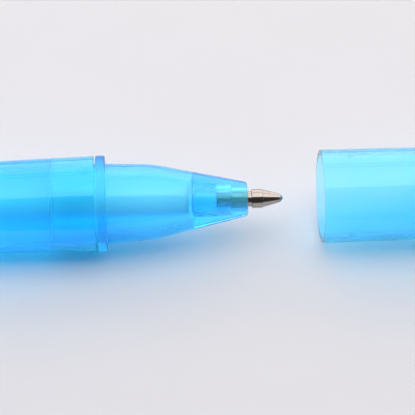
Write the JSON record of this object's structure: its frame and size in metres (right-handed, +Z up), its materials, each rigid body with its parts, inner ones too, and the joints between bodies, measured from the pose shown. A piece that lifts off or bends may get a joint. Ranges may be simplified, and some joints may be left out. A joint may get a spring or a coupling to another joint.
{
  "type": "invisible ink pen",
  "caption": "Translucent blue ball pen for invisible ink with a conical nose and a metal point, and a push-on clip cap with a push-button ultraviolet lamp in its closed end.",
  "frame": {"origin": "on the table, under the middle of the pen and the cap as they lie in line", "axes": "+X along the pen from the barrel's end to the point and the cap, +Z up off the table"},
  "size_m": [0.1606, 0.0148, 0.0116],
  "materials": {
    "blue_plastic": "clear tinted blue, polished",
    "cap_plastic": "clear pale blue, polished",
    "milky_plastic": "milky translucent",
    "clear_plastic": "clear",
    "white_plastic": "plain moulded",
    "nickel_silver": "turned, bright",
    "bright_steel": "polished",
    "wire": "drawn, bright",
    "bronze": "rolled strip",
    "lamp_resin": "clear violet resin"
  },
  "bodies": {
    "pen": {"barrel": "blue_plastic", "nose_section": "blue_plastic", "refill_tube": "milky_plastic", "ink_column": "clear_plastic", "tip_holder": "clear_plastic", "tip_socket": "nickel_silver"},
    "ball": {"writing_ball": "bright_steel"},
    "cap": {"cap_shell": "cap_plastic", "pocket_clip": "cap_plastic", "end_cover": "cap_plastic", "lamp_cradle": "white_plastic", "battery_spring": "wire", "button_cell_1": "bright_steel", "button_cell_2": "bright_steel", "button_cell_3": "bright_steel", "uv_lamp": "lamp_resin", "lamp_lead_negative": "wire", "lamp_lead_positive": "wire"},
    "button": {"switch_button": "white_plastic"},
    "leaf": {"contact_leaf": "bronze"}
  },
  "joints": [
    {"name": "cap_slide", "type": "slide", "parent": "pen", "child": "cap", "axis": [-1, 0, 0], "range_m": [0, 0.0259]},
    {"name": "ball_roll", "type": "hinge", "parent": "pen", "child": "ball", "pos_m": [0.02671, -0.00139, 0.0058], "axis": [0, 1, 0], "continuous": true},
    {"name": "button_press", "type": "slide", "parent": "cap", "child": "button", "axis": [0, 0.8902, -0.4555], "range_m": [0, 0.00045], "stiffness_N_per_m": 1500},
    {"name": "leaf_flex", "type": "hinge", "parent": "cap", "child": "leaf", "pos_m": [0.07062, -0.00513, 0.00771], "axis": [0, -0.4555, -0.8902], "range_deg": [0, 2.42]}
  ],
  "couplings": [
    {"joint": "leaf_flex", "follows": "button_press", "rad_per_m": 93.809}
  ]
}
